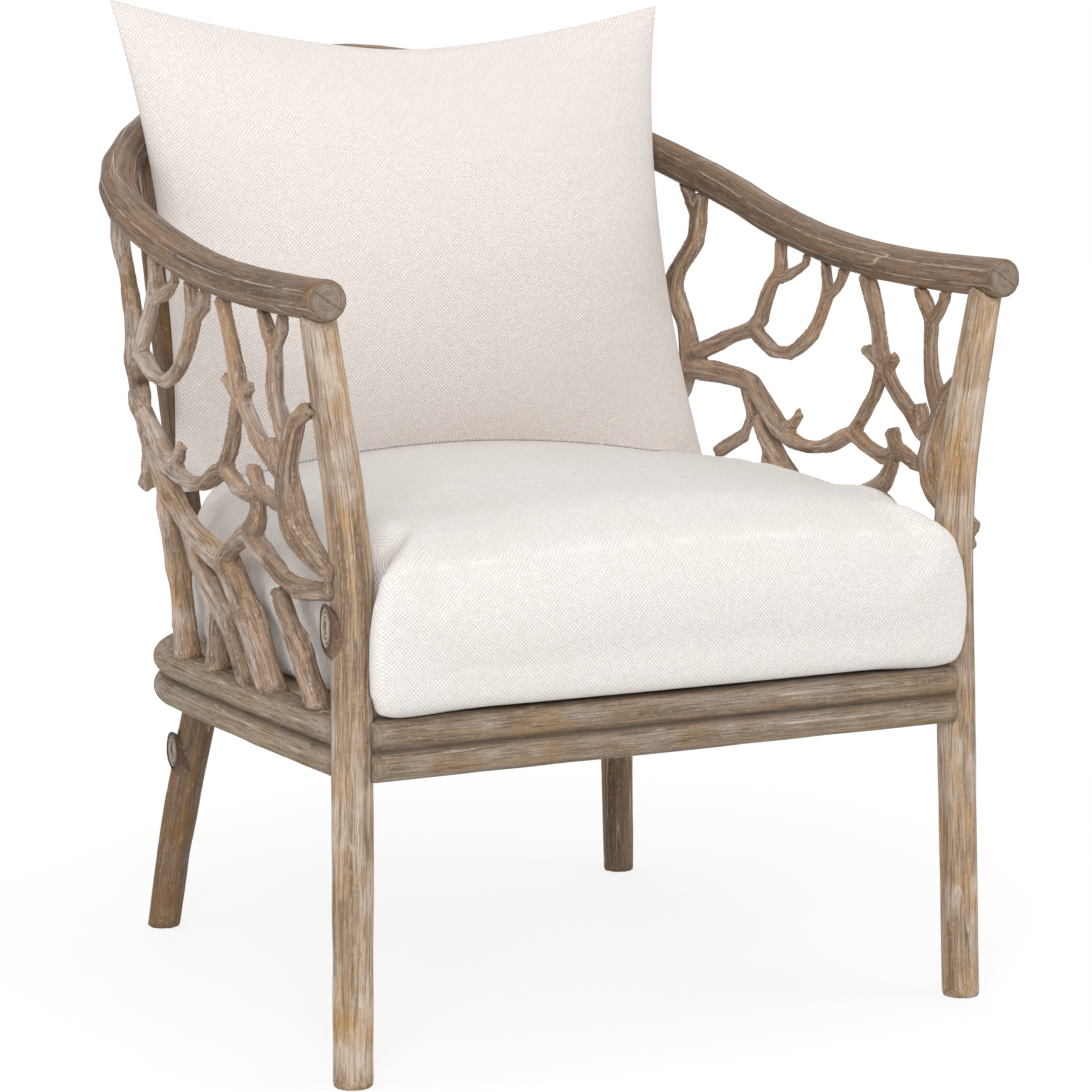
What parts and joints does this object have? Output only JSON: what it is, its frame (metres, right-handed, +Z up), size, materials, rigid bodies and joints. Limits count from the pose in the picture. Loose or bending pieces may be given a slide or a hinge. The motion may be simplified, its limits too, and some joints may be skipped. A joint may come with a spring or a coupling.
{
  "type": "armchair",
  "caption": "Open armchair with a horseshoe top rail, a lattice of carved branches in the sides and back, a crowned linen seat and a loose back pillow.",
  "frame": {"origin": "centre of the footprint box, on the floor", "axes": "+Z up, the sitter faces -Y, +X is the sitter's left"},
  "size_m": [0.6758, 0.711, 0.8854],
  "materials": {
    "cerused_wood": "matte, limed open grain",
    "plain_wood": "unfinished",
    "plywood": "unfinished",
    "seat_linen": "matte basket weave",
    "pillow_linen": "matte basket weave"
  },
  "bodies": {
    "frame": {"back_wave": "cerused_wood", "back_upright_a": "cerused_wood", "back_upright_b": "cerused_wood", "back_upright_c": "cerused_wood", "back_upright_d": "cerused_wood", "back_foot_a": "cerused_wood", "back_foot_b": "cerused_wood", "back_foot_c": "cerused_wood", "front_seat_rail": "cerused_wood", "rear_seat_rail": "cerused_wood", "crest_rail": "cerused_wood", "seat_deck": "plywood", "seat_cushion": "seat_linen", "front_post_left": "cerused_wood", "front_post_right": "cerused_wood", "rear_leg_left": "cerused_wood", "rear_leg_right": "cerused_wood", "rear_stile_left": "cerused_wood", "rear_stile_right": "cerused_wood", "arm_rail_left": "cerused_wood", "arm_rail_right": "cerused_wood", "rail_dowel_left": "plain_wood", "rail_dowel_right": "plain_wood", "side_seat_rail_left": "cerused_wood", "side_seat_rail_right": "cerused_wood", "corner_block_front_left": "plain_wood", "corner_block_front_right": "plain_wood", "corner_block_rear_left": "plain_wood", "corner_block_rear_right": "plain_wood", "front_trunk_left": "cerused_wood", "front_trunk_right": "cerused_wood", "rear_upright_left": "cerused_wood", "rear_upright_right": "cerused_wood", "wave_branch_left": "cerused_wood", "wave_branch_right": "cerused_wood", "front_fork_left": "cerused_wood", "front_fork_right": "cerused_wood", "second_upright_left": "cerused_wood", "second_upright_right": "cerused_wood", "diagonal_branch_left": "cerused_wood", "diagonal_branch_right": "cerused_wood", "cup_branch_left": "cerused_wood", "cup_branch_right": "cerused_wood", "main_foot_left": "cerused_wood", "main_foot_right": "cerused_wood", "second_foot_left": "cerused_wood", "second_foot_right": "cerused_wood", "rear_foot_left": "cerused_wood", "rear_foot_right": "cerused_wood", "link_left": "cerused_wood", "link_right": "cerused_wood", "bowl_left": "cerused_wood", "bowl_right": "cerused_wood", "front_foot_left": "cerused_wood", "front_foot_right": "cerused_wood"},
    "pillow": {"back_pillow": "pillow_linen"}
  },
  "joints": [
    {"name": "pillow_lift", "type": "slide", "parent": "frame", "child": "pillow", "axis": [0, -0.5, 0.866], "range_m": [0, 0.4]}
  ]
}
